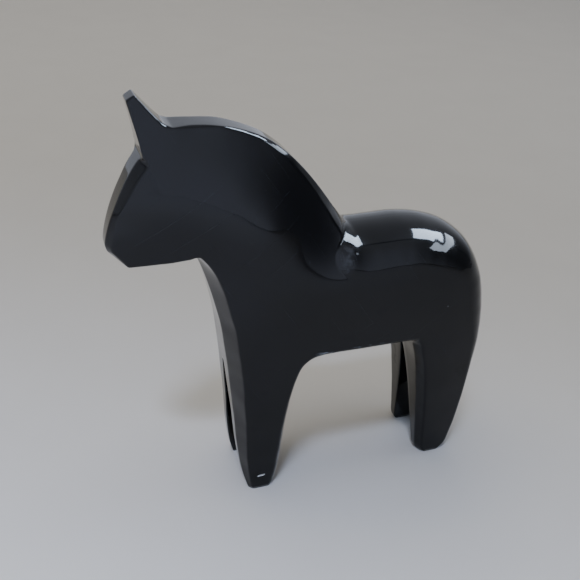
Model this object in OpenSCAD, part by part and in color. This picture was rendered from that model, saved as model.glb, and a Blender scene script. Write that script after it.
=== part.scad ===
// A carved pine horse about 20 cm tall, under a ground coat and glossy black lacquer.
// The head points along -X and the horse is the same on both sides of Y = 0.
// The origin is on the ground under the middle of the horse, and the soles stand on Z = 0.

/* [Overall] */
// Height from the soles to the tip of the ears
horse_h = 200; // [185:1:250]
// Length from the muzzle to the rump
horse_l = 180; // [170:1:240]
// Thickness through the barrel
barrel_t = 45; // [40:1:60]

/* [Side view] */
// Height of the back above the ground
back_h = 135.5; // [115:0.5:145]
// Height of the belly above the ground
belly_h = 75.5; // [60:0.5:90]
// How far the muzzle reaches in front of the front hooves
muzzle_reach = 59.3; // [48:0.1:72]
// Length of a front hoof on the ground
front_hoof_l = 13.5; // [10:0.5:15]
// Length of a hind hoof on the ground
hind_hoof_l = 13.5; // [11:0.5:16]

/* [Thickness] */
// Thickness across the outsides of a pair of hooves
hoof_t = 37; // [34:0.5:50]
// Thickness of the head at the cheeks
cheek_t = 28; // [24:0.5:34]
// Thickness of the muzzle
muzzle_t = 14; // [12:0.5:20]
// Thickness of the ear tip
ear_t = 8; // [6:0.5:10]

/* [Flat strips] */
// Width of the flat strip along the crest of the neck
crest_strip = 11; // [8:0.5:13]
// Widest part of the flat strip down the face
face_strip = 8.4; // [5:0.2:10]
// Width of the flat front of the legs and chest
chest_strip = 17; // [12:0.5:24]

/* [Knife cuts] */
// Depth of the cut along the legs and the belly
leg_cut = 3.2; // [2:0.1:4]
// Depth of the rounding over the back and the rump
back_round = 19; // [12:0.5:22]
// Depth of the cut beside the brow
brow_cut = 3.6; // [2.4:0.1:5]
// Broken edge where there is no cut
small_edge = 0.7; // [0.5:0.1:1.2]

/* [Leg gap] */
// Width of the gap between a pair of legs at the ground
gap_w = 21.5; // [16:0.5:26]
// Height of the gap between the front legs
front_gap_h = 70; // [50:0.5:80]
// Height of the gap between the hind legs
hind_gap_h = 66; // [50:0.5:80]

/* [Coats] */
// Thickness of the ground coat with its filler
ground_t = 0.3; // [0.2:0.05:0.5]
// Thickness of the black lacquer
lacquer_t = 0.2; // [0.15:0.05:0.4]

/* [Hidden] */

// Side view: x runs from the front of the front hooves. Places on the hind legs are measured from
// the rump, places on the head from the muzzle and down from the ear tip, and places on the neck,
// chest, back and underside are shares of the way between two others, so all move with the sizes.
rump_x = horse_l - muzzle_reach;
mid_x = rump_x - horse_l / 2;
mane_x = 45;
chest_x = -12;
function mix(a, b, t) = a + (b - a) * t;
function rx(ahead) = rump_x - ahead;
function mx(behind) = behind - muzzle_reach;
function nx(share) = mix(mx(28.5), mane_x, share);
function cx(share) = mix(chest_x, mx(35.7), share);
function bx(share) = mix(mane_x, rump_x, share);
function ux(share) = mix(32, rx(39.9), share);
function hz(down) = horse_h - down;
function nz(share) = mix(hz(12.7), back_h + 3, share);
function cz(share) = mix(belly_h - 4, hz(67.7), share);
function rz(share) = mix(back_h - 13.7, belly_h - 8, share);

// Middle line of the side view: each place has x, z and half the thickness there
barrel = barrel_t / 2;
hoof = hoof_t / 2;
cheek = cheek_t / 2;
muzzle = muzzle_t / 2;
body_z = (back_h + belly_h) / 2;
EAR = 0;
POLL = 1;
THROAT = 2;
NECK = 3;
CREST = 4;
SHOULDER = 5;
GIRTH = 6;
BARREL = 7;
LOIN = 8;
RUMP = 9;
THIGH = 10;
HOCK = 11;
SHIN = 12;
HIND_HOOF = 13;
MUZZLE = 14;
CHEEK = 15;
ELBOW = 16;
FOREARM = 17;
KNEE = 18;
CANNON = 19;
FORE_HOOF = 20;
middle = [
    [mx(15.3), hz(9), ear_t / 2 + 1.2],
    [mx(21.3), hz(22), cheek - 4.5],
    [mx(30.3), hz(38), cheek],
    [nx(0.29), hz(44), cheek + 3],
    [nx(0.51), hz(56), barrel - 3],
    [nx(0.67), back_h - 14, barrel - 1],
    [ux(0.1), body_z, barrel],
    [bx(0.14), body_z, barrel],
    [bx(0.42), body_z, barrel],
    [bx(0.68), body_z - 4, barrel],
    [rx(21), belly_h - 6, mix(barrel, hoof, 0.15)],
    [rx(18.5), belly_h * 0.6, mix(barrel, hoof, 0.4)],
    [rx(18), belly_h * 0.27, mix(barrel, hoof, 0.75)],
    [rx(18.5), 5, hoof + 0.4],
    [mx(7.3), hz(56), muzzle + 2.2],
    [mx(16.3), hz(43), mix(muzzle, cheek, 0.75)],
    [9, belly_h + 15, mix(barrel, hoof, 0.3)],
    [7, belly_h - 8, mix(barrel, hoof, 0.4)],
    [6.5, belly_h * 0.56, mix(barrel, hoof, 0.6)],
    [6.5, belly_h * 0.27, mix(barrel, hoof, 0.8)],
    [6.5, 5, hoof + 0.4]
];

// Side outline, clockwise from the ear tip. Each place has x, z, half the width of its flat strip,
// half the thickness inside its cut, the depth of the cut, how round the cut is (0 is a flat
// facet, 1 a quarter round) and the place on the middle line that it belongs to.
crest = crest_strip / 2;
face = face_strip / 2;
chest = chest_strip / 2;
tip = ear_t / 2;
edge = small_edge;
ridge = 0.6;
leg = leg_cut;
hoof_strip = hoof - 1.3 * leg;
hind_heel = rx(11.6);
ear_back = [
    [mx(15.1), hz(0), tip, tip + edge, edge, 0, EAR],
    [mx(25.1), hz(11), crest, crest + edge, edge, 0, POLL],
    [mx(28.5), hz(12.8), crest + 1, crest + 1 + edge, edge, 0, POLL]
];
neck = [
    [mx(28.5), hz(12.8), crest + 1, crest + 1 + edge, edge, 0, POLL],
    [nx(0.116), nz(0), crest, crest + edge, edge, 0, THROAT],
    [nx(0.26), nz(0.023), crest, crest + edge, edge, 0, NECK],
    [nx(0.393), nz(0.08), crest - 0.5, crest + 0.4, 0.8, 0, NECK],
    [nx(0.517), nz(0.168), crest - 0.5, crest + 1, 1, 0, CREST],
    [nx(0.63), nz(0.3), crest, crest + 2, 1.6, 0, CREST],
    [nx(0.736), nz(0.467), crest, crest + 3, 2.4, 0, CREST],
    [nx(0.828), nz(0.641), crest, crest + 3.8, 3, 0, SHOULDER],
    [nx(0.918), nz(0.832), crest - 0.8, crest + 4.8, 3.6, 0, SHOULDER],
    [mane_x, nz(1), crest - 2, crest + 7.5, 5, 0.3, SHOULDER]
];
back = [
    [mane_x, nz(1), crest - 2, crest + 7.5, 5, 0.3, SHOULDER],
    [bx(0.035), back_h + 0.9, 2, barrel - 4, back_round * 0.7, 0.9, GIRTH],
    [bx(0.1), back_h, ridge, barrel - 0.8, back_round, 1, GIRTH],
    [bx(0.25), back_h, ridge, barrel - 0.5, back_round, 1, BARREL],
    [bx(0.4), back_h, ridge, barrel - 0.5, back_round, 1, LOIN],
    [bx(0.56), back_h - 1.7, ridge, barrel - 0.5, back_round, 1, LOIN],
    [bx(0.716), back_h - 6, ridge, barrel - 0.5, back_round, 1, RUMP],
    [bx(0.848), rz(0), 1.5, barrel - 0.5, back_round * 0.85, 1, RUMP],
    [bx(0.934), rz(0.21), 3.5, barrel - 0.5, back_round * 0.7, 1, RUMP],
    [bx(0.982), rz(0.466), 6.5, barrel - 0.6, back_round * 0.65, 1, RUMP],
    [bx(1), rz(0.742), 9.5, barrel - 0.8, back_round * 0.5, 0.9, THIGH],
    [rx(0.7), rz(1), hoof - 6, mix(barrel, hoof, 0.35), leg * 2, 0.8, THIGH],
    [rx(2.2), belly_h * 0.7, hoof_strip - 0.5, mix(barrel, hoof, 0.5), leg * 1.3, 0.6, HOCK],
    [rx(3.6), belly_h * 0.48, hoof_strip, mix(barrel, hoof, 0.7), leg, 0.5, HOCK],
    [rx(5.1), belly_h * 0.26, hoof_strip, mix(barrel, hoof, 0.85), leg, 0.4, SHIN],
    [rx(7), 8, hoof_strip, hoof, leg, 0.3, HIND_HOOF],
    [rx(8.5), 2.6, hoof_strip, hoof, leg, 0.3, HIND_HOOF],
    [hind_heel, 0, hoof_strip, hoof, leg, 0.3, HIND_HOOF]
];
hind_front = [
    [hind_heel - hind_hoof_l, 0, hoof_strip, hoof, leg * 0.7, 0, HIND_HOOF],
    [hind_heel - hind_hoof_l - 1.4, 1.8, hoof_strip, hoof, leg * 0.7, 0, HIND_HOOF],
    [rx(27.3), 7, hoof_strip, hoof, leg * 0.7, 0, HIND_HOOF],
    [rx(29.2), belly_h * 0.33, hoof_strip, mix(barrel, hoof, 0.75), leg * 0.7, 0, SHIN],
    [rx(31.6), belly_h * 0.58, hoof_strip, mix(barrel, hoof, 0.55), leg * 0.7, 0, HOCK],
    [rx(34.6), belly_h * 0.8, hoof_strip + 1, mix(barrel, hoof, 0.35), leg * 0.7, 0, THIGH],
    [rx(38.4), belly_h - 2.5, hoof_strip + 1.5, mix(barrel, hoof, 0.2), leg * 0.8, 0, THIGH]
];
belly = [
    [ux(1), belly_h, barrel - 5, barrel - 0.8, leg, 0.2, RUMP],
    [ux(0.83), belly_h + 0.3, barrel - 5, barrel - 0.8, leg, 0.2, LOIN],
    [ux(0.53), belly_h + 0.5, barrel - 5, barrel - 0.8, leg, 0.3, BARREL],
    [ux(0.25), belly_h + 0.5, barrel - 5, barrel - 1, leg, 0.3, GIRTH],
    [ux(0), belly_h, barrel - 5.2, barrel - 1.3, leg, 0.3, GIRTH],
    [27, belly_h - 2.4, barrel - 5.5, barrel - 1.6, leg, 0.3, SHOULDER],
    [24.3, belly_h - 7.5, hoof_strip + 1.5, mix(barrel, hoof, 0.4), leg, 0.3, ELBOW],
    [21.5, belly_h * 0.75, hoof_strip + 1, mix(barrel, hoof, 0.55), leg, 0.3, FOREARM],
    [19, belly_h * 0.55, hoof_strip + 0.5, mix(barrel, hoof, 0.7), leg, 0.3, KNEE],
    [17.4, belly_h * 0.32, hoof_strip, mix(barrel, hoof, 0.85), leg, 0.3, CANNON],
    [15.4, 8, hoof_strip, hoof, leg, 0.3, FORE_HOOF],
    [front_hoof_l, 0, hoof_strip, hoof, leg, 0.3, FORE_HOOF]
];
fore_front = [
    [0, 0, hoof - 2.2, hoof, leg * 0.6, 0, FORE_HOOF],
    [-2.4, 9, chest + 5.2, hoof, leg * 0.8, 0, FORE_HOOF],
    [-4.7, belly_h * 0.33, chest + 3, mix(barrel, hoof, 0.9), leg, 0, CANNON],
    [-6.1, belly_h * 0.56, chest + 1.5, mix(barrel, hoof, 0.8), leg * 1.2, 0, KNEE],
    [-7.7, belly_h * 0.77, chest + 0.8, mix(barrel, hoof, 0.75), leg * 1.3, 0, FOREARM],
    [-9, cz(0), chest + 0.2, mix(barrel, hoof, 0.7), leg * 1.4, 0, FOREARM],
    [-10.5, cz(0.197), chest - 0.2, hoof + 0.8, leg * 1.4, 0, ELBOW],
    [chest_x, cz(0.378), chest - 1, hoof + 0.2, leg * 1.4, 0, ELBOW],
    [cx(0.17), cz(0.526), chest - 2.2, hoof - 0.8, leg * 1.4, 0, SHOULDER],
    [cx(0.34), cz(0.658), chest - 3.6, cheek + 3, leg * 1.4, 0, SHOULDER],
    [cx(0.56), cz(0.8), chest - 5, cheek + 2, leg * 1.3, 0, CREST],
    [cx(0.78), cz(0.913), chest - 6.3, cheek + 1, leg, 0, CREST],
    [cx(1), cz(1), chest - 7.3, cheek + 0.4, leg * 0.5, 0, NECK]
];
jaw = [
    [mx(34.2), hz(67.5), cheek - 1, cheek, edge, 0, NECK],
    [mx(24.3), hz(69.3), mix(muzzle, cheek, 0.55), mix(muzzle, cheek, 0.65), edge, 0, THROAT],
    [mx(16.3), hz(70.3), mix(muzzle, cheek, 0.25), mix(muzzle, cheek, 0.35), edge, 0, CHEEK],
    [mx(8.3), hz(71), muzzle, muzzle + edge, edge, 0, MUZZLE]
];
chin = [
    [mx(8.3), hz(71), muzzle, muzzle + edge, edge, 0, MUZZLE],
    [mx(0.7), hz(64.6), face - 1.8, muzzle - 0.6, 2, 0, MUZZLE]
];
nose = [
    [mx(0.7), hz(64.6), face - 1.8, muzzle - 0.6, 2, 0, MUZZLE],
    [mx(0), hz(61), face - 1, muzzle - 0.4, 2.5, 0, MUZZLE],
    [mx(1.7), hz(53), face, muzzle, 2.4, 0, MUZZLE],
    [mx(4.5), hz(45), face + 0.4, muzzle + 0.6, 2.4, 0, CHEEK],
    [mx(7.8), hz(37.5), face + 0.8, muzzle + 1.4, brow_cut * 0.75, 0, CHEEK],
    [mx(11.5), hz(30.3), face + 1, muzzle + 2.2, brow_cut * 0.92, 0, CHEEK],
    [mx(15.3), hz(24.6), face + 1, muzzle + 2.8, brow_cut, 0, THROAT]
];
ear_front = [
    [mx(16.3), hz(23.2), muzzle + 2, muzzle + 2 + edge, edge, 0, POLL],
    [mx(15), hz(16), muzzle + 0.3, muzzle + 0.3 + edge, edge, 0, POLL],
    [mx(13.3), hz(8.5), mix(tip, muzzle, 0.4), mix(tip, muzzle, 0.4) + edge, edge, 0, EAR],
    [mx(11.7), hz(2), tip, tip + edge, edge, 0, EAR]
];

// A smooth curve through a list of places, with the given number of steps between two places. It
// leaves b in the direction from a to c and arrives at c in the direction from b to d.
function gap(a, b) = norm([b[0] - a[0], b[1] - a[1]]);
function through(a, b, c, d, t) =
    let (
        leave = (c - a) * gap(b, c) / (gap(a, b) + gap(b, c)),
        arrive = (d - b) * gap(b, c) / (gap(b, c) + gap(c, d)),
        rise = c - b
    )
    b + leave * t + (3 * rise - 2 * leave - arrive) * t * t + (leave + arrive - 2 * rise) * t * t * t;
function place(p, i, t) =
    let (last = len(p) - 1, s = through(p[max(i - 1, 0)], p[i], p[i + 1], p[min(i + 2, last)], t))
    [s[0], s[1], s[2], s[3], s[4], s[5], t < 0.5 ? p[i][6] : p[i + 1][6]];
function curve(p, steps) = [for (i = [0:len(p) - 2], j = [0:steps - 1]) place(p, i, j / steps)];
function ends(p) = [p[len(p) - 1]];

outline = concat(
    curve(ear_back, 2), curve(neck, 3), curve(back, 3), ends(back), curve(hind_front, 2), ends(hind_front),
    curve(belly, 2), ends(belly), curve(fore_front, 2), ends(fore_front), curve(jaw, 2), curve(chin, 2),
    curve(nose, 3), ends(nose), curve(ear_front, 2), ends(ear_front)
);
count = len(outline);

// Direction into the wood at each place of the outline, long enough to keep a cut's depth at corners.
// At a sole it runs along the ground, so the sole stays flat.
function unit(v) = v / norm(v);
function inward(a, b) = unit([b[1] - a[1], a[0] - b[0]]);
function corner(n1, n2) = (n1 + n2) / max(0.6, 1 + n1 * n2);
function flat(n) = [n[0] > 0 ? 1 : -1, 0];
function spoke(i) =
    let (
        p = outline[i],
        n = corner(inward(outline[(i + count - 1) % count], p), inward(p, outline[(i + 1) % count]))
    )
    p[1] == 0 ? flat(n) : n;
spokes = [for (i = [0:count - 1]) spoke(i)];

// Cross section of one side at a place of the outline, as depth into the wood and distance from
// Y = 0: the end of the flat strip, then the steps of the cut. A skin moves it inwards all over.
cut_steps = 3;
function cut_point(p, s) = [
    p[4] * mix(s, 1 - cos(90 * s), p[5]),
    mix(p[2], p[3], mix(s, sin(90 * s), p[5]))
];
function normal(a, b) = let (d = unit(b - a)) [d[1], -d[0]];
side_normal = [0.08, -1];
function section(p, skin) =
    let (
        c = [for (k = [0:cut_steps]) cut_point(p, k / cut_steps)],
        n = [[1, 0], for (k = [1:cut_steps]) normal(c[k - 1], c[k]), side_normal]
    )
    [for (k = [0:cut_steps]) c[k] + skin * corner(n[k], n[k + 1])];

// One side of the horse is rings of points from the outline to the middle line
dome = 0.5;
rings = cut_steps + 2;
function ring_points(side, skin, foot) = [
    for (i = [0:count - 1])
        let (p = outline[i], n = spokes[i], c = section(p, skin), m = middle[p[6]], q = c[cut_steps],
            inner = [p[0] + n[0] * q[0], p[1] + n[1] * q[0]],
            half = mix(inner, [m[0], m[1]], dome),
            half_y = mix(q[1], m[2] - skin, 1 - (1 - dome) * (1 - dome)))
        each [
            for (k = [0:cut_steps])
                [p[0] + n[0] * c[k][0] - mid_x, side * c[k][1], p[1] + n[1] * c[k][0] - (p[1] == 0 ? foot : 0)],
            [half[0] - mid_x, side * half_y, half[1]]
        ]
];
function middle_points(side, skin) = [for (m = middle) [m[0] - mid_x, side * (m[2] - skin), m[1]]];

// Triangles between the rings of one side, and those that join both sides along the strips
side_count = count * rings + len(middle);
function quad(a, b, c, d) = [[a, b, c], [a, c, d]];
function turned(faces) = [for (f = faces) [f[2], f[1], f[0]]];
function side_faces(first) = [
    for (i = [0:count - 1])
        let (j = (i + 1) % count, a = first + i * rings, b = first + j * rings,
            m = first + count * rings + outline[i][6], o = first + count * rings + outline[j][6])
        each concat(
            [for (k = [0:rings - 2]) each quad(a + k, a + k + 1, b + k + 1, b + k)],
            [[a + rings - 1, m, b + rings - 1]],
            m == o ? [] : [[b + rings - 1, m, o]]
        )
];
function strip_faces(first, second) = [
    for (i = [0:count - 1])
        let (j = (i + 1) % count)
        each quad(first + i * rings, first + j * rings, second + j * rings, second + i * rings)
];

// The whole carved shape less a skin all over, with its feet reaching below the ground if asked
module block(skin, foot) {
    polyhedron(
        points = concat(
            ring_points(-1, skin, foot), middle_points(-1, skin),
            ring_points(1, skin, foot), middle_points(1, skin)
        ),
        faces = concat(
            turned(side_faces(0)), side_faces(side_count), strip_faces(side_count, 0)
        )
    );
}

// Upside-down V between a pair of legs, from x1 to x2, made wider by a skin
module leg_gap(x1, x2, top, skin) {
    slope = gap_w / 2 / top;
    peak = top + skin * sqrt(1 + 1 / (slope * slope));
    below = 5;
    translate([x1 - mid_x, 0, 0])
        rotate([90, 0, 90])
        linear_extrude(x2 - x1)
        polygon([[-slope * (peak + below), -below], [slope * (peak + below), -below], [0, peak]]);
}

module horse(skin, foot) {
    split_x = mix(0, rump_x, 0.45);
    clear = 20;
    difference() {
        block(skin, foot);
        leg_gap(-clear, split_x, front_gap_h, skin);
        leg_gap(split_x, rump_x + clear, hind_gap_h, skin);
    }
}

// A coat is the horse less the same horse with a thicker skin, open under the soles
module coat(outer_skin, thickness) {
    resize([0, 0, 0])
        difference() {
            horse(outer_skin, 0);
            horse(outer_skin + thickness, 1);
        }
}

module wood_half(side) {
    far = horse_l + horse_h;
    difference() {
        horse(lacquer_t + ground_t, 0);
        translate([-far, side > 0 ? -far : 0, -far]) cube([2 * far, far, 2 * far]);
    }
}

module left_half() {
    color("burlywood") wood_half(-1);
}

module right_half() {
    color("burlywood") wood_half(1);
}

module ground_coat() {
    color("lightgray") coat(lacquer_t, ground_t);
}

module lacquer_coat() {
    color([0.06, 0.065, 0.08]) coat(0, lacquer_t);
}

left_half();
right_half();
ground_coat();
lacquer_coat();
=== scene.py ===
# %% [markdown]
# # A black lacquered wooden horse
# A small horse is sawn out of a pine block and trimmed with a knife. It is then filled, ground and
# sprayed or brushed with glossy black lacquer. Nothing is painted on it, so all it has to show is
# its shape, its edges and the way light slides over the gloss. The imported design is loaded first
# and gives the place and the size of everything.

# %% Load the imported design
import math

import bpy
import numpy as np
from mathutils import Matrix, Vector
from mathutils.geometry import delaunay_2d_cdt


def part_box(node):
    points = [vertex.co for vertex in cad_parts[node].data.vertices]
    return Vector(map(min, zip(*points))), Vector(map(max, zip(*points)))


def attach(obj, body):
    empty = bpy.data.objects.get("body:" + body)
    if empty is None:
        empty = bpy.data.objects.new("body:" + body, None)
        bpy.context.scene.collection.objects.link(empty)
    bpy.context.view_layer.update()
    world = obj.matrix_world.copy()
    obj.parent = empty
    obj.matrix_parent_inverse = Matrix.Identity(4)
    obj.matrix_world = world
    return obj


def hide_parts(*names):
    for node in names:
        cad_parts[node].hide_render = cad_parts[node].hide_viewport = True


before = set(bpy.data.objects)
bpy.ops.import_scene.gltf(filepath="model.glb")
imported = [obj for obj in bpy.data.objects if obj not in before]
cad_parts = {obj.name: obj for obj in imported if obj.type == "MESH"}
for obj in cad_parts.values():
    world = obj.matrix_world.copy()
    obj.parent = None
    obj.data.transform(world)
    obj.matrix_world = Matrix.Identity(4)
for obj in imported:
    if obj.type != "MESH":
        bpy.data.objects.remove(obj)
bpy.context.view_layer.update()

MM = 0.001
coat_low, coat_high = (np.array(corner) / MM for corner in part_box("lacquer_coat"))
horse_l, barrel_t, horse_h = (coat_high - coat_low).tolist()
print("horse in mm: length", round(horse_l, 1), "thickness", round(barrel_t, 1),
      "height", round(horse_h, 1))

# %% [markdown]
# ## The camera
# The horse is seen from its head side and from above, close enough for a strong perspective. The
# view is written as two angles, a small tilt of the camera and a distance from a point in the
# horse's middle plane, and the camera's axes are worked out from them.

# %% Place the camera
azimuth, elevation, tilt = (math.radians(angle) for angle in (-20.9, 31.2, 3.1))
aim = np.array([-7.6, 0.0, 102.7]) * MM
camera_distance = 0.370
back = np.array([math.sin(azimuth) * math.cos(elevation), -math.cos(azimuth) * math.cos(elevation),
                 math.sin(elevation)])
right = np.array([math.cos(azimuth), math.sin(azimuth), 0.0])
up = np.cross(back, right)
tilted_right = math.cos(tilt) * right + math.sin(tilt) * up
tilted_up = -math.sin(tilt) * right + math.cos(tilt) * up
camera_data = bpy.data.cameras.new("camera")
camera_data.sensor_width = 36.0
camera_data.lens = 49.66
camera = bpy.data.objects.new("camera", camera_data)
bpy.context.scene.collection.objects.link(camera)
axes = Matrix([tilted_right, tilted_up, back]).transposed().to_4x4()
camera.matrix_world = Matrix.Translation(Vector(aim + back * camera_distance)) @ axes
bpy.context.scene.camera = camera
print("camera at", [round(v, 3) for v in camera.matrix_world.translation])

# %% [markdown]
# ## The side outline
# The carver draws the side view on the block and saws it out, then takes the edges off with a
# knife. So the form is kept the same way: a list of places around the side view, and at each place
# the flat strip that the saw left and the cut that the knife made. The lists repeat the design's
# own places in millimetres, with a tighter corner at the foot of the mane, and the overall sizes
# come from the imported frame.

# %% Sizes of the horse in millimetres
back_h, belly_h = 135.5, 75.5
muzzle_reach, front_hoof_l, hind_hoof_l = 59.3, 13.5, 13.5
barrel, hoof, cheek, muzzle, tip = barrel_t / 2, 37 / 2, 28 / 2, 14 / 2, 8 / 2
crest, face, chest = 11 / 2, 8.4 / 2, 17 / 2
leg, back_round, brow_cut, edge, ridge = 3.2, 19, 3.6, 0.7, 0.6
gap_w, front_gap_h, hind_gap_h = 21.5, 70.0, 66.0
lacquer_t, ground_t = 0.2, 0.3
rump_x = horse_l - muzzle_reach
mid_x = rump_x - horse_l / 2
mane_x, chest_x = 45, -12


def mix(a, b, t):
    """The value a share t of the way from a to b."""
    return a + (b - a) * t


def rx(ahead):
    """A place on the hind legs, measured forward from the rump."""
    return rump_x - ahead


def mx(behind):
    """A place on the head, measured back from the muzzle."""
    return behind - muzzle_reach


def hz(down):
    """A height on the head, measured down from the ear tip."""
    return horse_h - down


def nx(share):
    """A place along the neck, from the ear to the mane corner."""
    return mix(mx(28.5), mane_x, share)


def cx(share):
    """A place up the chest, as far as the throat."""
    return mix(chest_x, mx(35.7), share)


def bx(share):
    """A place along the back, from the mane corner to the rump."""
    return mix(mane_x, rump_x, share)


def ux(share):
    """A place along the underside, from the front leg to the hind leg."""
    return mix(32, rx(39.9), share)


def nz(share):
    """A height on the neck, down from the ear to the mane corner."""
    return mix(hz(12.7), back_h + 3, share)


def cz(share):
    """A height on the chest, up to the throat."""
    return mix(belly_h - 4, hz(67.7), share)


def rz(share):
    """A height on the rump, down from the back to the thigh."""
    return mix(back_h - 13.7, belly_h - 8, share)


# %% [markdown]
# Down the middle of the side view the horse has a thickness of its own: narrow at the muzzle, full
# at the barrel, a little narrower again at the hooves. Each place has x, z and half the thickness.

# %% Thickness along the middle
body_z = (back_h + belly_h) / 2
middle = [
    [mx(15.3), hz(9), tip + 1.2],
    [mx(21.3), hz(22), cheek - 4.5],
    [mx(30.3), hz(38), cheek],
    [nx(0.29), hz(44), cheek + 3],
    [nx(0.51), hz(56), barrel - 3],
    [nx(0.67), back_h - 14, barrel - 1],
    [ux(0.1), body_z, barrel],
    [bx(0.14), body_z, barrel],
    [bx(0.42), body_z, barrel],
    [bx(0.68), body_z - 4, barrel],
    [rx(21), belly_h - 6, mix(barrel, hoof, 0.15)],
    [rx(18.5), belly_h * 0.6, mix(barrel, hoof, 0.4)],
    [rx(18), belly_h * 0.27, mix(barrel, hoof, 0.75)],
    [rx(18.5), 5, hoof + 0.4],
    [mx(7.3), hz(56), muzzle + 2.2],
    [mx(16.3), hz(43), mix(muzzle, cheek, 0.75)],
    [9, belly_h + 15, mix(barrel, hoof, 0.3)],
    [7, belly_h - 8, mix(barrel, hoof, 0.4)],
    [6.5, belly_h * 0.56, mix(barrel, hoof, 0.6)],
    [6.5, belly_h * 0.27, mix(barrel, hoof, 0.8)],
    [6.5, 5, hoof + 0.4]
]

# %% [markdown]
# Around the outline each place has x, z, half the width of its flat strip, half the thickness
# inside its cut, the depth of the cut, and how round the cut is: 0 is a flat facet and 1 a quarter
# round, as on the back and the rump.

# %% Places around the outline
hoof_strip = hoof - 1.3 * leg
hind_heel = rx(11.6)
ear_back = [
    [mx(15.1), hz(0), tip, tip + edge, edge, 0],
    [mx(25.1), hz(11), crest, crest + edge, edge, 0],
    [mx(28.5), hz(12.8), crest + 1, crest + 1 + edge, edge, 0]
]
neck = [
    [mx(28.5), hz(12.8), crest + 1, crest + 1 + edge, edge, 0],
    [nx(0.116), nz(0), crest, crest + edge, edge, 0],
    [nx(0.26), nz(0.023), crest, crest + edge, edge, 0],
    [nx(0.393), nz(0.08), crest - 0.5, crest + 0.4, 0.8, 0],
    [nx(0.517), nz(0.168), crest - 0.5, crest + 1, 1, 0],
    [nx(0.63), nz(0.3), crest, crest + 2, 1.6, 0],
    [nx(0.736), nz(0.467), crest, crest + 3, 2.4, 0],
    [nx(0.828), nz(0.641), crest, crest + 3.8, 3, 0],
    [nx(0.918), nz(0.832), crest - 0.8, crest + 4.8, 3.6, 0],
    [mane_x, nz(1), crest - 2, crest + 7.5, 5, 0.3]
]
back_line = [
    [mane_x, nz(1), crest - 2, crest + 7.5, 5, 0.3],
    [bx(0.03), back_h + 0.7, 1.2, barrel - 1.6, back_round * 0.92, 1],
    [bx(0.06), back_h, ridge, barrel - 0.8, back_round, 1],
    [bx(0.25), back_h, ridge, barrel - 0.5, back_round, 1],
    [bx(0.4), back_h, ridge, barrel - 0.5, back_round, 1],
    [bx(0.56), back_h - 1.7, ridge, barrel - 0.5, back_round, 1],
    [bx(0.716), back_h - 6, ridge, barrel - 0.5, back_round, 1],
    [bx(0.848), rz(0), 1.5, barrel - 0.5, back_round * 0.85, 1],
    [bx(0.934), rz(0.21), 3.5, barrel - 0.5, back_round * 0.7, 1],
    [bx(0.982), rz(0.466), 6.5, barrel - 0.6, back_round * 0.65, 1],
    [bx(1), rz(0.742), 9.5, barrel - 0.8, back_round * 0.5, 0.9],
    [rx(0.7), rz(1), hoof - 6, mix(barrel, hoof, 0.35), leg * 2, 0.8],
    [rx(2.2), belly_h * 0.7, hoof_strip - 0.5, mix(barrel, hoof, 0.5), leg * 1.3, 0.6],
    [rx(3.6), belly_h * 0.48, hoof_strip, mix(barrel, hoof, 0.7), leg, 0.5],
    [rx(5.1), belly_h * 0.26, hoof_strip, mix(barrel, hoof, 0.85), leg, 0.4],
    [rx(7), 8, hoof_strip, hoof, leg, 0.3],
    [rx(8.5), 2.6, hoof_strip, hoof, leg, 0.3],
    [hind_heel, 0, hoof_strip, hoof, leg, 0.3]
]
hind_front = [
    [hind_heel - hind_hoof_l, 0, hoof_strip, hoof, leg * 0.7, 0],
    [hind_heel - hind_hoof_l - 1.4, 1.8, hoof_strip, hoof, leg * 0.7, 0],
    [rx(27.3), 7, hoof_strip, hoof, leg * 0.7, 0],
    [rx(29.2), belly_h * 0.33, hoof_strip, mix(barrel, hoof, 0.75), leg * 0.7, 0],
    [rx(31.6), belly_h * 0.58, hoof_strip, mix(barrel, hoof, 0.55), leg * 0.7, 0],
    [rx(34.6), belly_h * 0.8, hoof_strip + 1, mix(barrel, hoof, 0.35), leg * 0.7, 0],
    [rx(38.4), belly_h - 2.5, hoof_strip + 1.5, mix(barrel, hoof, 0.2), leg * 0.8, 0]
]
belly = [
    [ux(1), belly_h, barrel - 5, barrel - 0.8, leg, 0.2],
    [ux(0.83), belly_h + 0.3, barrel - 5, barrel - 0.8, leg, 0.2],
    [ux(0.53), belly_h + 0.5, barrel - 5, barrel - 0.8, leg, 0.3],
    [ux(0.25), belly_h + 0.5, barrel - 5, barrel - 1, leg, 0.3],
    [ux(0), belly_h, barrel - 5.2, barrel - 1.3, leg, 0.3],
    [27, belly_h - 2.4, barrel - 5.5, barrel - 1.6, leg, 0.3],
    [24.3, belly_h - 7.5, hoof_strip + 1.5, mix(barrel, hoof, 0.4), leg, 0.3],
    [21.5, belly_h * 0.75, hoof_strip + 1, mix(barrel, hoof, 0.55), leg, 0.3],
    [19, belly_h * 0.55, hoof_strip + 0.5, mix(barrel, hoof, 0.7), leg, 0.3],
    [17.4, belly_h * 0.32, hoof_strip, mix(barrel, hoof, 0.85), leg, 0.3],
    [15.4, 8, hoof_strip, hoof, leg, 0.3],
    [front_hoof_l, 0, hoof_strip, hoof, leg, 0.3]
]
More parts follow.
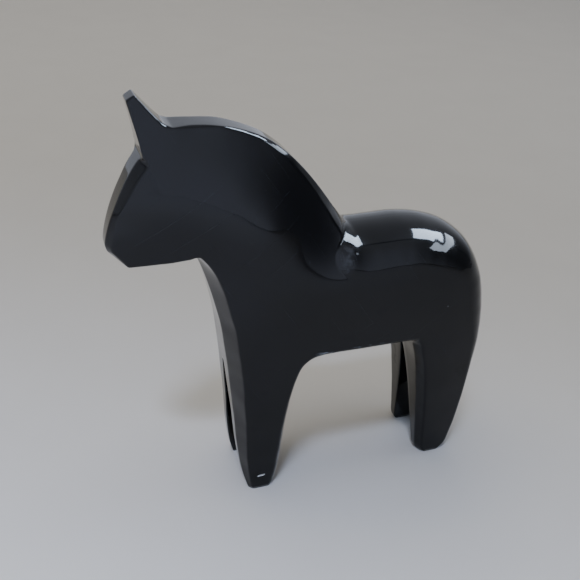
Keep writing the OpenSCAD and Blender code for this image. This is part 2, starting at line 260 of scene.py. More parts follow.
fore_front = [
    [0, 0, hoof - 2.2, hoof, leg * 0.6, 0],
    [-2.4, 9, chest + 5.2, hoof, leg * 0.8, 0],
    [-4.7, belly_h * 0.33, chest + 3, mix(barrel, hoof, 0.9), leg, 0],
    [-6.1, belly_h * 0.56, chest + 1.5, mix(barrel, hoof, 0.8), leg * 1.2, 0],
    [-7.7, belly_h * 0.77, chest + 0.8, mix(barrel, hoof, 0.75), leg * 1.3, 0],
    [-9, cz(0), chest + 0.2, mix(barrel, hoof, 0.7), leg * 1.4, 0],
    [-10.5, cz(0.197), chest - 0.2, hoof + 0.8, leg * 1.4, 0],
    [chest_x, cz(0.378), chest - 1, hoof + 0.2, leg * 1.4, 0],
    [cx(0.17), cz(0.526), chest - 2.2, hoof - 0.8, leg * 1.4, 0],
    [cx(0.34), cz(0.658), chest - 3.6, cheek + 3, leg * 1.4, 0],
    [cx(0.56), cz(0.8), chest - 5, cheek + 2, leg * 1.3, 0],
    [cx(0.78), cz(0.913), chest - 6.3, cheek + 1, leg, 0],
    [cx(1), cz(1), chest - 7.3, cheek + 0.4, leg * 0.5, 0]
]
jaw = [
    [mx(34.2), hz(67.5), cheek - 1, cheek, edge, 0],
    [mx(24.3), hz(69.3), mix(muzzle, cheek, 0.55), mix(muzzle, cheek, 0.65), edge, 0],
    [mx(16.3), hz(70.3), mix(muzzle, cheek, 0.25), mix(muzzle, cheek, 0.35), edge, 0],
    [mx(8.3), hz(71), muzzle, muzzle + edge, edge, 0]
]
chin = [
    [mx(8.3), hz(71), muzzle, muzzle + edge, edge, 0],
    [mx(0.7), hz(64.6), face - 1.8, muzzle - 0.6, 2, 0]
]
nose = [
    [mx(0.7), hz(64.6), face - 1.8, muzzle - 0.6, 2, 0],
    [mx(0), hz(61), face - 1, muzzle - 0.4, 2.5, 0],
    [mx(1.7), hz(53), face, muzzle, 2.4, 0],
    [mx(4.5), hz(45), face + 0.4, muzzle + 0.6, 2.4, 0],
    [mx(7.8), hz(37.5), face + 0.8, muzzle + 1.4, brow_cut * 0.75, 0],
    [mx(11.5), hz(30.3), face + 1, muzzle + 2.2, brow_cut * 0.92, 0],
    [mx(15.3), hz(24.6), face + 1, muzzle + 2.8, brow_cut, 0]
]
ear_front = [
    [mx(16.3), hz(23.2), muzzle + 2, muzzle + 2 + edge, edge, 0],
    [mx(15), hz(16), muzzle + 0.3, muzzle + 0.3 + edge, edge, 0],
    [mx(13.3), hz(8.5), mix(tip, muzzle, 0.4), mix(tip, muzzle, 0.4) + edge, edge, 0],
    [mx(11.7), hz(2), tip, tip + edge, edge, 0]
]

# %% [markdown]
# ## From places to a path
# A knife leaves long even curves between corners, so a smooth curve runs through the places of
# each stretch. Where two stretches meet, their directions into the wood are blended towards the
# mitre of the corner, and the whole path is then softened by half a millimetre, because filler and
# several coats of lacquer round every corner a little.

# %% Smooth curves and corners
FINE = 0.2
SOFTEN = 0.55
MITRE_REACH = 5.0


def curve(places):
    """A smooth curve through rows of values. Each stretch leaves its first place in the direction
    between that place's neighbours and arrives at its last one in the same way (a cubic Hermite
    curve), so its speed suits its own length."""
    p = np.array(places, float)
    gap = np.linalg.norm(np.diff(p[:, :2], axis=0), axis=1)
    rows = []
    for i, length in enumerate(gap):
        a, b, c, d = p[max(i - 1, 0)], p[i], p[i + 1], p[min(i + 2, len(p) - 1)]
        before = gap[i - 1] if i else 0.0
        after = gap[i + 1] if i + 1 < len(gap) else 0.0
        leave = (c - a) * length / (before + length)
        arrive = (d - b) * length / (length + after)
        t = np.linspace(0, 1, max(3, int(length / FINE)), endpoint=False)[:, None]
        rise = c - b
        rows.append(b + leave * t + (3 * rise - 2 * leave - arrive) * t**2
                    + (leave + arrive - 2 * rise) * t**3)
    return np.vstack(rows + [p[-1:]])


def inward(line):
    """Unit directions into the wood: the line's own direction turned a quarter clockwise."""
    step = np.gradient(line, axis=0)
    turned = np.stack([step[:, 1], -step[:, 0]], axis=1)
    return turned / np.linalg.norm(turned, axis=1, keepdims=True)


def along(line):
    """Distance along a line of points, starting at zero."""
    return np.concatenate([[0.0], np.cumsum(np.linalg.norm(np.diff(line[:, :2], axis=0), axis=1))])


def soften(values, spread):
    """A running average with bell-shaped weights. Past both ends the values go on turned about the
    end, so the ends and straight stretches stay where they are."""
    reach = int(4 * spread)
    weight = np.exp(-0.5 * (np.arange(-reach, reach + 1) / spread) ** 2)
    weight /= weight.sum()
    first = 2 * values[:1] - values[reach:0:-1]
    last = 2 * values[-1:] - values[-2:-reach - 2:-1]
    padded = np.vstack([first, values, last])
    return np.stack([np.convolve(column, weight, "valid") for column in padded.T], axis=1)


def path_of(runs):
    """One path through several stretches that starts and ends on the ground. The columns are x, z,
    strip, thickness, cut depth, roundness and the two parts of the direction into the wood."""
    lines = [curve(run) for run in runs]
    normals = [inward(line[:, :2]) for line in lines]
    rows = []
    for k, (line, normal) in enumerate(zip(lines, normals)):
        s = along(line)
        spoke = normal.copy()
        for end, other in ((0, k - 1), (-1, k + 1)):
            own = normal[end]
            if other < 0 or other == len(lines):
                meeting = np.array([np.sign(own[0]), 0.0])
            else:
                link = lines[other][-1 if end == 0 else 0, :2] - line[end, :2]
                link = -link if end == 0 else link
                size = np.linalg.norm(link)
                far = normals[other][-1 if end == 0 else 0]
                beyond = far if size < 0.05 else np.array([link[1], -link[0]]) / size
                meeting = (own + beyond) / max(0.6, 1 + own @ beyond)
            distance = s if end == 0 else s[-1] - s
            spoke += np.clip(1 - distance / MITRE_REACH, 0, 1)[:, None] * (meeting - own)
        rows.append(np.hstack([line, spoke]))
    joined = np.vstack(rows)
    s = along(joined)
    keep = np.concatenate([[True], np.diff(s) > 1e-6])
    even = np.linspace(0, s[-1], int(s[-1] / FINE))
    sampled = np.stack([np.interp(even, s[keep], column[keep]) for column in joined.T], axis=1)
    return soften(sampled, SOFTEN / FINE)


over_path = path_of([fore_front, jaw, chin, nose, ear_front, ear_back, neck, back_line])
under_path = path_of([hind_front, belly])
print("path over the horse", round(along(over_path)[-1]), "mm and under it",
      round(along(under_path)[-1]), "mm")

# %% [markdown]
# A knife never keeps a strip perfectly even, so its width and the depth of the cuts drift a little.
# The path is then thinned: places stay close together where it turns and near the top of the gaps
# between the legs, and lie up to 2 mm apart where it runs straight. A place falls exactly on the
# top of each gap, because the strip splits in two there.

# %% Thin the path to useful places
LONGEST = 2.1
TURN = math.radians(6)


def gap_top(x):
    """Height of the gap between the front legs or the hind legs, whichever x belongs to."""
    return np.where(x < mix(0, rump_x, 0.45), front_gap_h, hind_gap_h)


def thin(path, cut_at):
    """Places of a path spaced by how fast it turns, with a place at each given row."""
    normal = inward(path[:, :2])
    turn = np.arccos(np.clip((normal[1:] * normal[:-1]).sum(1), -1, 1))
    turn += np.linalg.norm(np.diff(path[:, 6:8], axis=0), axis=1) * 0.3
    step = np.diff(along(path))
    near_top = np.exp(-np.abs(gap_top(path[1:, 0]) - path[1:, 1]) / 0.7)
    need = np.concatenate([[0.0], np.cumsum(step / LONGEST + turn / TURN + near_top * step * 2.5)])
    rows = np.arange(len(path))
    stops = np.interp([0, *cut_at, len(path) - 1], rows, need)
    wanted = [np.linspace(a, b, max(2, round(b - a)), endpoint=False)
              for a, b in zip(stops[:-1], stops[1:])]
    places = np.interp(np.concatenate(wanted + [stops[-1:]]), need, rows)
    return np.stack([np.interp(places, rows, column) for column in path.T], axis=1)


def crossing(path, height, first):
    """Where a path passes a height, as a row with its share of the way to the next row."""
    above = path[:, 1] > height
    row = np.nonzero(above[1:] != above[:-1])[0][0 if first else -1]
    return row + (height - path[row, 1]) / (path[row + 1, 1] - path[row, 1])


DRIFT_WAVES = ((31.0, 0.5), (17.0, 0.35), (9.0, 0.2))
CHIP_LENGTH, CHIP_WIDTH, CHIP_CUT = 8.5, 0.9, 0.15
BELLY_EDGE_X, BELLY_EDGE_LONG, BELLY_EDGE_HIGH = 38, 14, 6
STEADY = 4
WOBBLE = 0.3


def by_hand(path, seed):
    """Uneven strips and cuts, as a knife leaves them: the widths and depths of a path drift in a few
    long waves, and in short chips along the low edge of the belly. Close to the ground, and where a
    strip is narrow, they stay steady."""
    s = along(path)
    rng = np.random.default_rng(seed)
    drift = np.zeros((2, len(s)))
    for length, share in DRIFT_WAVES:
        drift += share * np.sin(2 * math.pi * s / length + rng.uniform(0, 2 * math.pi, (2, 1)))
    chips = np.abs((s / CHIP_LENGTH + 0.3 * np.sin(s / 5.0)) % 1.0 - 0.75).clip(0, 0.25) * 4 - 1
    on_edge = (np.exp(-((path[:, 0] - BELLY_EDGE_X) / BELLY_EDGE_LONG) ** 2)
               * np.exp(-((path[:, 1] - belly_h) / BELLY_EDGE_HIGH) ** 2))
    off_ground = np.clip(path[:, 1] / STEADY, 0, 1)
    widening = WOBBLE * drift[0] * np.clip(path[:, 2] / STEADY, 0, 1)
    path[:, 2] += off_ground * (widening + CHIP_WIDTH * on_edge * chips)
    path[:, 4] *= 1 + off_ground * (0.12 * WOBBLE * drift[1] + CHIP_CUT * on_edge * chips)
    return path


over_path, under_path = by_hand(over_path, 3), by_hand(under_path, 4)
over = thin(over_path, [crossing(over_path, front_gap_h, True),
                        crossing(over_path, hind_gap_h, False)])
under = thin(under_path, [crossing(under_path, hind_gap_h, True),
                          crossing(under_path, front_gap_h, False)])
print("places kept:", len(over), "over and", len(under), "under")

# %% [markdown]
# ## The side of the horse
# Between the cuts the side is one gentle form that the carver judges by hand. A thin elastic plate
# bent through all the given thicknesses (a thin-plate spline) gives just such a form: it passes
# near every value with as little bending as possible. A few long shallow waves, less than a tenth
# of a millimetre high, stand for hand sanding, and a gloss surface shows them as soft wobbles.

# %% The elastic plate
def plate_kernel(distance):
    """Distance squared times its logarithm: the shape of a thin plate pushed at one point."""
    d2 = np.maximum(distance**2, 1e-9)
    return 0.5 * d2 * np.log(d2)


def distances(a, b):
    """Distance of every row of a from every row of b."""
    return np.sqrt(((a[:, None, :] - b[None, :, :]) ** 2).sum(2))


every = 9
rims = np.vstack([over[::every], under[::every]])
rim_points = rims[:, :2] + rims[:, 6:8] * rims[:, 4:5]
middle_rows = np.array(middle)
known = np.vstack([rim_points, middle_rows[:, :2]])
known_half = np.concatenate([rims[:, 3], middle_rows[:, 2]])
looseness = 60.0
count = len(known)
flat_part = np.hstack([np.ones((count, 1)), known])
system = np.zeros((count + 3, count + 3))
system[:count, :count] = plate_kernel(distances(known, known)) + looseness * np.eye(count)
system[:count, count:] = flat_part
system[count:, :count] = flat_part.T
weights = np.linalg.solve(system, np.concatenate([known_half, np.zeros(3)]))


def half_thickness(points):
    """Half the thickness of the horse at rows of x, z: the plate's height plus the hand's waves."""
    pushed = plate_kernel(distances(points, known)) @ weights[:count]
    x, z = points[:, 0], points[:, 1]
    plate = pushed + weights[count] + points @ weights[count + 1:]
    waves = (np.sin(x / 9.1 + np.sin(z / 17.0)) * np.sin(z / 12.3 + 1.3)
             + 0.7 * np.sin(x / 5.3 + z / 6.9) * np.sin(z / 23.0 - x / 31.0))
    return np.minimum(plate, barrel) + 0.035 * waves


print("plate through", count, "values, off by at most",
      round(float(np.abs(half_thickness(known) - known_half).max()), 2), "mm")

# %% [markdown]
# ## The gap between the legs
# Each pair of legs is parted by a narrow upside-down V, sawn and then cleaned with the knife. Its
# top is round, as wide as the tip of the tool.

# %% Half the width of the gap
tool_r = 0.5


def gap_half(points):
    """Half the gap's width at rows of x, z: a quarter round at the top, then a straight slope."""
    top = gap_top(points[:, 0])
    down = np.maximum(top - points[:, 1], 0)
    round_top = tool_r * np.sqrt(1 - (1 - np.clip(down / tool_r, 0, 1)) ** 2)
    return round_top + (gap_w / 2 - tool_r) * down / top


# %% [markdown]
# ## The band of edges
# At each place of the path a profile runs across the edge: up the wall inside the gap, over the
# flat strip, down the knife's cut and a little way onto the side. Its three corners are rounded by
# short curves (quadratic Bezier curves), because filler and lacquer never leave a sharp arris.
# Carried along the path, the profiles make one grid.

# %% Profiles along the path
ONTO_SIDE = 1.2


def bend(a, b, c, steps):
    """A curve from a to c that is pulled towards b. Arrays of depth and height in, a grid out."""
    t = np.linspace(0, 1, steps)[None, :, None]
    a, b, c = (v[:, None, :] for v in (a, b, c))
    return (1 - t) ** 2 * a + 2 * t * (1 - t) * b + t**2 * c


def band_of(path):
    """The band's grid of points: one row for each place of the path, and columns from the wall of
    the gap to the side. Points are x, y, z on the side where y is negative."""
    point, strip, deep, round_, spoke = path[:, :2], path[:, 2], path[:, 4], path[:, 5], path[:, 6:8]
    inner_end = half_thickness(point + spoke * deep[:, None])
    beyond = half_thickness(point + spoke * (deep + ONTO_SIDE)[:, None])
    gap = gap_half(point)
    down = np.maximum(gap_top(point[:, 0]) - point[:, 1], 0)
    wall = 1.2 * np.clip(down / 1.5, 0, 1)

    def pair(depth, height):
        return np.stack(np.broadcast_arrays(depth, height), axis=-1).astype(float)

    def cut(s):
        """The knife's cut at shares s of its way: between a straight line and a quarter round."""
        depth = deep[:, None] * mix(s, 1 - np.cos(s * math.pi / 2), round_[:, None])
        height = mix(strip[:, None], inner_end[:, None], mix(s, np.sin(s * math.pi / 2), round_[:, None]))
        return np.stack([depth, height], axis=-1)

    length = np.hypot(deep, inner_end - strip) * (1 + 0.11 * round_)
    near = np.minimum(0.6, 0.4 * length)
    start = np.clip(near / length, 0, 0.4)
    finish = np.clip(np.minimum(0.9, 0.4 * length) / length, 0, 0.4)
    q0 = np.minimum(np.minimum(0.5, wall * 0.9), np.maximum(strip - gap, 0) * 0.4)
    q1 = np.minimum(near, (strip - gap) * 0.4)
    first = bend(pair(q0, gap), pair(0, gap), pair(0, gap + q0), 4)
    second = bend(pair(0, strip - q1), pair(0, strip), cut(start[:, None])[:, 0], 5)
    across = np.linspace(0, 1, 5)[None, 1:-1, None]
    flat = first[:, -1:] * (1 - across) + second[:, :1] * across
    shares = start[:, None] + (1 - finish - start)[:, None] * np.linspace(0, 1, 11)[None, 1:-1]
    side = pair(deep + ONTO_SIDE, beyond)
    corner = pair(deep, inner_end)
    third = bend(cut((1 - finish)[:, None])[:, 0], corner, mix(corner, side, 0.7), 5)
    parts = [pair(wall, gap)[:, None], first, flat, second, cut(shares), third, side[:, None]]
    profile = np.concatenate(parts, 1)
    xz = point[:, None, :] + spoke[:, None, :] * profile[..., :1]
    y = profile[..., 1].copy()
    in_gap = 5
    flat_xz = xz[:, :in_gap].reshape(-1, 2)
    has_gap = (wall > 0)[:, None]
    y[:, :in_gap] += gap_half(flat_xz).reshape(-1, in_gap) * has_gap - gap[:, None] * has_gap
    return np.stack([xz[..., 0], -y, xz[..., 1]], axis=-1)


over_band, under_band = band_of(over), band_of(under)
print("band grids", over_band.shape[:2], "and", under_band.shape[:2])

# %% [markdown]
# ## Filling the sheets
# The side of the horse and the walls inside the gaps are sheets bounded by the band. Each sheet is
# filled with an even field of points in the side view, joined by the triangles that suit them best
# (a Delaunay triangulation), and every point takes its y from its formula.

# %% Fill an outline with triangles
def field(low, high, spacing):
    """Points of a triangular lattice that covers a box."""
    xs = np.arange(low[0], high[0], spacing)
    zs = np.arange(low[1], high[1], spacing * math.sqrt(3) / 2)
    x, z = np.meshgrid(xs, zs)
    x = x + (np.arange(len(zs)) % 2)[:, None] * spacing / 2
    return np.stack([x.ravel(), z.ravel()], axis=1)


def fill(rim, inside):
    """Triangles that fill a closed rim of 2-D points, using the points inside it as well."""
    clear = distances(inside, rim).min(1) > 0.55 * np.median(np.linalg.norm(np.diff(rim, axis=0), axis=1))
    points = np.vstack([rim, inside[clear]])
    ring = [(i, (i + 1) % len(rim)) for i in range(len(rim))]
    found, _, faces, origin, _, _ = delaunay_2d_cdt([Vector(p) for p in points], ring, [], 1, 1e-5)
    new = [k for k, o in enumerate(origin) if not o]
    if new:
        print("crossing rims at", [tuple(round(c, 2) for c in found[k]) for k in new[:6]])
    index = np.array([o[0] if o else 0 for o in origin])
    return points, index[np.array(faces)]


def line_between(a, b, spacing):
    """Points between two ends, which are left out."""
    steps = max(2, int(np.linalg.norm(b - a) / spacing))
    return a + (b - a) * np.linspace(0, 1, steps, endpoint=False)[1:, None]


def drop_repeats(points):
    """The rim without points that repeat the one before."""
    step = np.linalg.norm(points - np.roll(points, 1, axis=0), axis=1)
    return points[step > 1e-4]


# %% [markdown]
# The side sheet lies between the two bands and is closed along the soles by straight lines. Each
# wall of a gap lies between a column of one band and a column of the other.

# %% The side sheet and the walls of the gaps
SHEET, WALL_SHEET, SOLE_STEP = 1.75, 2.2, 1.2
side_rim_3d = np.vstack([over_band[:, -1], under_band[:, -1]])
over_side, under_side = over_band[:, -1][:, [0, 2]], under_band[:, -1][:, [0, 2]]
hind_foot = line_between(over_side[-1], under_side[0], SOLE_STEP)
fore_foot = line_between(under_side[-1], over_side[0], SOLE_STEP)
side_rim = np.vstack([over_side, hind_foot, under_side, fore_foot])
lattice = field(side_rim.min(0), side_rim.max(0), SHEET)
side_points, side_faces = fill(side_rim, lattice)
side_sheet = np.stack([side_points[:, 0], -half_thickness(side_points), side_points[:, 1]], axis=1)


def wall_sheet(front, rear):
    """One wall of a gap between two columns of the bands, both running from the ground to the top."""
    top_line = line_between(front[-1], rear[-1], WALL_SHEET)
    sole_line = line_between(rear[0], front[0], SOLE_STEP)
    rim = drop_repeats(np.vstack([front, top_line, rear[::-1], sole_line]))
    lattice = field(rim.min(0), rim.max(0) - [0, 1.0], WALL_SHEET)
    points, faces = fill(rim, lattice)
    return np.stack([points[:, 0], -gap_half(points), points[:, 1]], axis=1), faces


def below(band, height, first):
    """Column of the band on the gap's wall, from the ground up to the gap's top, as x, z."""
    column = band[:, 0][:, [0, 2]]
    rows = np.nonzero(column[:, 1] <= height + 1e-3)[0]
    half = rows[rows < len(column) // 2] if first else rows[rows >= len(column) // 2]
    return column[half] if first else column[half][::-1]


fore_wall = wall_sheet(below(over_band, front_gap_h, True), below(under_band, front_gap_h, False))
hind_wall = wall_sheet(below(under_band, hind_gap_h, True), below(over_band, hind_gap_h, False))
print("triangles: side", len(side_faces), "walls", len(fore_wall[1]), len(hind_wall[1]))

# %% [markdown]
# ## One skin from grids and sheets
# The grids and the sheets share their rims, so points that lie in the same place are welded into
# one. The other side of the horse is the same skin mirrored, and the two are welded along the
# middle. Each sheet and band is turned so that the sum of its triangles' area vectors looks out of
# the wood.

# %% Weld the skin
WELD, SNAP = 0.004, 0.01


def grid_faces(rows, columns):
    """Triangles of a grid of points, two for each cell."""
    index = np.arange(rows * columns).reshape(rows, columns)
    a, b, c, d = index[:-1, :-1], index[1:, :-1], index[1:, 1:], index[:-1, 1:]
    return np.vstack([np.stack(corners, -1).reshape(-1, 3) for corners in ([a, b, c], [a, c, d])])


def weld(parts):
    """One list of points and one of triangles from several, without repeated points or slivers."""
    points = np.vstack([p.reshape(-1, 3) for p, _ in parts])
    starts = np.cumsum([0] + [p.reshape(-1, 3).shape[0] for p, _ in parts])
    faces = np.vstack([f + start for (_, f), start in zip(parts, starts)])
    _, first, same = np.unique(np.round(points / WELD).astype(int), axis=0, return_index=True,
                               return_inverse=True)
    faces = same.reshape(-1)[faces]
    whole = (faces[:, 0] != faces[:, 1]) & (faces[:, 1] != faces[:, 2]) & (faces[:, 2] != faces[:, 0])
    return points[first], faces[whole]


def facing(points, faces, way):
    """The faces, turned over if together they look against the given direction."""
    a, b, c = (points[faces[:, k]] for k in range(3))
    total = np.cross(b - a, c - a).sum(0)
    return faces if total @ np.array(way, float) > 0 else faces[:, ::-1]


side_out = (0, -1, 0)
side_part = (side_sheet, facing(side_sheet, side_faces, side_out))
wall_parts = [(points, facing(points, faces, (0, 1, 0))) for points, faces in (fore_wall, hind_wall)]
band_parts = [(band, grid_faces(*band.shape[:2])) for band in (over_band, under_band)]
band_parts = [(band, facing(band.reshape(-1, 3), faces, side_out)) for band, faces in band_parts]
half_points, half_faces = weld([side_part, *wall_parts, *band_parts])
for axis in (1, 2):
    half_points[np.abs(half_points[:, axis]) < SNAP, axis] = 0.0
half_points[:, 0] -= mid_x
mirrored = half_points * [1, -1, 1]
skin_points, skin_faces = weld([(half_points, half_faces), (mirrored, half_faces[:, ::-1])])


def rim_edges(faces):
    """Directed edges that only one triangle uses."""
    edges = np.vstack([faces[:, [0, 1]], faces[:, [1, 2]], faces[:, [2, 0]]])
    key = np.sort(edges, axis=1)
    _, first, count = np.unique(key, axis=0, return_index=True, return_counts=True)
    over_used = int((count > 2).sum())
    if over_used:
        print("edges used more than twice:", over_used)
    return edges[first[count == 1]]


def report(name, points, faces):
    """Print how many triangles a skin has, where it is open and what it encloses."""
    rim = rim_edges(faces)
    high = float(points[rim].reshape(-1, 3)[:, 2].max()) if len(rim) else 0.0
    a, b, c = (points[faces[:, k]] for k in range(3))
    volume = (a * np.cross(b, c)).sum() / 6
    print(name, len(faces), "triangles, open edges", len(rim), "up to z", round(high, 3),
          "volume", round(volume / 1000, 1), "cm3")


report("skin", skin_points, skin_faces)


def outward(points, faces):
    """Smooth unit normals: each point's is the sum of its triangles' area vectors. At a sole the
    normal is kept level, so a skin that is moved inwards still ends on the ground."""
    a, b, c = (points[faces[:, k]] for k in range(3))
    area = np.cross(b - a, c - a)
    total = np.stack([np.bincount(faces.ravel(), np.repeat(column, 3), len(points))
                      for column in area.T], 1)
    total[points[:, 2] == 0, 2] = 0.0
    total[points[:, 1] == 0, 1] = 0.0
    return total / np.maximum(np.linalg.norm(total, axis=1, keepdims=True), 1e-12)


skin_normals = outward(skin_points, skin_faces)

# %% [markdown]
# ## Pieces from the skin
# The lacquer is the layer between the skin and the same skin 0.2 mm further in, the ground coat is
# the next 0.3 mm, and the wood is what is left, in two glued boards that meet in the middle. The
# coats end at the soles, where the horse was stood to dry and the bare end grain shows.

# %% Make mesh objects
def mesh_piece(name, points, faces):
    """A smooth-shaded object from points in millimetres and triangles."""
    mesh = bpy.data.meshes.new(name)
    mesh.from_pydata((points * MM).tolist(), [], faces.tolist())
    mesh.polygons.foreach_set("use_smooth", np.ones(len(faces), bool))
    mesh.update()
    piece = bpy.data.objects.new(name, mesh)
    bpy.context.scene.collection.objects.link(piece)
    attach(piece, "root")
    return piece


def layer(outer_depth, inner_depth):
    """A closed layer between two depths under the skin, joined around the open soles."""
    outer = skin_points - skin_normals * outer_depth
    inner = skin_points - skin_normals * inner_depth
    count = len(skin_points)
    rim = rim_edges(skin_faces)
    a, b = rim[:, 0], rim[:, 1]
    joint = np.vstack([np.stack([b, a, a + count], 1), np.stack([b, a + count, b + count], 1)])
    return np.vstack([outer, inner]), np.vstack([skin_faces, skin_faces[:, ::-1] + count, joint])


def cap(points, rim, axes_2d, way):
    """Triangles that close flat rims, filled in the plane of two axes and facing a given way."""
    used = np.unique(rim)
    flat = points[used][:, axes_2d]
    edges = np.searchsorted(used, rim)
    _, _, faces, origin, _, _ = delaunay_2d_cdt([Vector(p) for p in flat], edges.tolist(), [], 1, 1e-5)
    index = np.array([o[0] if o else 0 for o in origin])
    return facing(points, used[index[np.array(faces)]], way)


def board(side):
    """One solid board of the wood: its carved skin, its flat glue face and its two soles, each a
    fan of triangles around the middle of the sole."""
    depth = lacquer_t + ground_t
    inside = skin_points - skin_normals * depth
    middle_of = skin_points[skin_faces][:, :, 1].mean(1)
    faces = skin_faces[middle_of * side > 0]
    rim = rim_edges(faces)
    on_glue = (np.abs(inside[rim][:, :, 1]) < 1e-6).all(1)
    closed = [faces, cap(inside, rim[on_glue], [0, 2], (0, -side, 0))]
    soles = rim[~on_glue]
    for leg in (-1, 1):
        edges = soles[inside[soles[:, 0], 0] * leg > 0]
        inside = np.vstack([inside, inside[edges[:, 0]].mean(0)])
        centre = np.full(len(edges), len(inside) - 1)
        closed.append(np.stack([edges[:, 1], edges[:, 0], centre], 1))
    used, faces = np.unique(np.vstack(closed), return_inverse=True)
    return inside[used], faces.reshape(-1, 3)


lacquer = mesh_piece("lacquer_skin", *layer(0.0, lacquer_t))
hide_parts("lacquer_coat")
ground = mesh_piece("ground_skin", *layer(lacquer_t, lacquer_t + ground_t))
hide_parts("ground_coat")
boards = {}
for name, side in (("left", -1), ("right", 1)):
    boards[name] = mesh_piece(name + "_board", *board(side))
    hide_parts(name + "_half")
for piece in (lacquer, ground, *boards.values()):
    faces = np.array([p.vertices[:] for p in piece.data.polygons])
    points = np.array([v.co[:] for v in piece.data.vertices]) / MM
    report(piece.name, points, faces)

# %% [markdown]
# ## Finishes
# Each finish starts from the real material. One function turns a hex colour into linear light, and
# one adds a shader node with its settings and links. The short ones after it name what the finishes
# use again and again: sums, ranges, cloudy patches and blends of two colours.

# %% Shader helpers
def linear(hex_colour):
    """The linear colour of an sRGB hex value."""
    srgb = np.array([int(hex_colour[i:i + 2], 16) for i in (1, 3, 5)]) / 255
    return (*np.where(srgb <= 0.04045, srgb / 12.92, ((srgb + 0.055) / 1.055) ** 2.4).tolist(), 1.0)


def add(tree, kind, settings=None, **links):
    """A node of a kind with its settings and inputs. An input is a value or another node's output."""
    node = tree.nodes.new("ShaderNode" + kind)
    for key, value in (settings or {}).items():
        setattr(node, key, value)
    for key, value in links.items():
        numbered = key[0] == "i" and key[1:].isdigit()
        socket = node.inputs[int(key[1:]) if numbered else key.replace("_", " ")]
        if isinstance(value, bpy.types.NodeSocket):
            tree.links.new(value, socket)
        else:
            socket.default_value = value
    return node


def new_material(name):
    """An empty material with its output, its surface shader and the object's own coordinates."""
    material = bpy.data.materials.new(name)
    material.use_nodes = True
    tree = material.node_tree
    tree.nodes.clear()
    shader = add(tree, "BsdfPrincipled")
    output = add(tree, "OutputMaterial")
    tree.links.new(shader.outputs[0], output.inputs[0])
    return material, tree, shader, add(tree, "TexCoord").outputs["Object"]


def ramp(tree, value, low, high, dark, light):
    """A value between low and high, turned into a colour or a number between dark and light."""
    node = add(tree, "MapRange", {"clamp": True}, Value=value, From_Min=low, From_Max=high,
               To_Min=dark, To_Max=light)
    return node.outputs[0]


def calc(tree, operation, *values):
    """The result of a mathematical operation on one to three numbers or outputs."""
    inputs = {f"i{k}": value for k, value in enumerate(values)}
    return add(tree, "Math", {"operation": operation}, **inputs).outputs[0]


def size(mm):
    """The texture scale at which one cell of a pattern is this many millimetres."""
    return 1.0 / (mm * MM)


def noise(tree, place, mm, detail):
    """Cloudy values from 0 to 1 in patches of about this many millimetres."""
    return add(tree, "TexNoise", Vector=place, Scale=size(mm), Detail=detail).outputs["Fac"]


def blend(tree, share, first, second):
    """A colour that goes from the first to the second as the share goes from 0 to 1."""
    return add(tree, "Mix", {"data_type": "RGBA"}, i0=share, i6=first, i7=second).outputs[2]

# %% [markdown]
# ### Marks in the lacquer
# A few dust grains were caught while the lacquer dried, and handling left hairline scratches. The
# left front hoof has a chip. Pale flecks along the low edge of the left flank are painted highlights,
# glints on the uneven cut, and a pale patch in the fold at the foot of the mane is a painted
# reflection. Each mark is a share from 0 to 1.

# %% Marks in the lacquer
chip_place = (-0.0247, -0.0185, 0.0085)
mane_fold = (0.0135, -0.0150, 0.1300)
low_edge = (belly_h + leg + 0.7) * MM


def away_from(tree, place, centre, turn, reach):
    """Distance from a centre in turned axes, as a share of the reach along each of them."""
    local = add(tree, "Mapping", {"vector_type": "TEXTURE"}, Vector=place, Location=centre,
                Rotation=(0.0, turn, 0.0), Scale=reach).outputs[0]
    return add(tree, "VectorMath", {"operation": "LENGTH"}, Vector=local).outputs["Value"]


def dust_grains(tree, place):
    """Some cells of a cell pattern hold one grain each, up to about 0.6 mm across."""
    cells = add(tree, "TexVoronoi", Vector=place, Scale=size(8), Randomness=1.0)
    chosen = add(tree, "SeparateColor", Color=cells.outputs["Color"]).outputs["Red"]
    radius = ramp(tree, chosen, 0.72, 1.0, 0.0, 0.04)
    return calc(tree, "LESS_THAN", cells.outputs["Distance"], radius)


def hairlines(tree, place):
    """The crests of two sets of slanting waves, broken up and kept to patches."""
    broken = ramp(tree, noise(tree, place, 0.9, 0.0), 0.45, 0.6, 0.2, 1.0)
    sets = []
    for turn, apart, patch_mm in ((0.6, 7.0, 21.0), (-0.95, 11.0, 27.0)):
        laid = add(tree, "Mapping", Vector=place, Rotation=(0.0, turn, 0.0)).outputs[0]
        waves = add(tree, "TexWave", {"bands_direction": "X"}, Vector=laid, Distortion=0.5,
                    Scale=size(apart) * math.pi / 10, Detail=1.0, Detail_Scale=0.6).outputs["Fac"]
        crests = ramp(tree, waves, 0.9992, 0.9998, 0.0, 1.0)
        patch = ramp(tree, noise(tree, laid, patch_mm, 0.0), 0.60, 0.66, 0.0, 1.0)
        sets.append(calc(tree, "MULTIPLY", crests, calc(tree, "MULTIPLY", patch, broken)))
    return calc(tree, "MAXIMUM", *sets)


def hoof_chip(tree, place):
    """A long chip with a ragged rim on the outer face of the left front hoof."""
    away = away_from(tree, place, chip_place, -0.12, (0.0023, 0.004, 0.0007))
    uneven = calc(tree, "MULTIPLY_ADD", noise(tree, place, 1.1, 2.0), 0.9, away)
    return calc(tree, "LESS_THAN", uneven, 1.2)


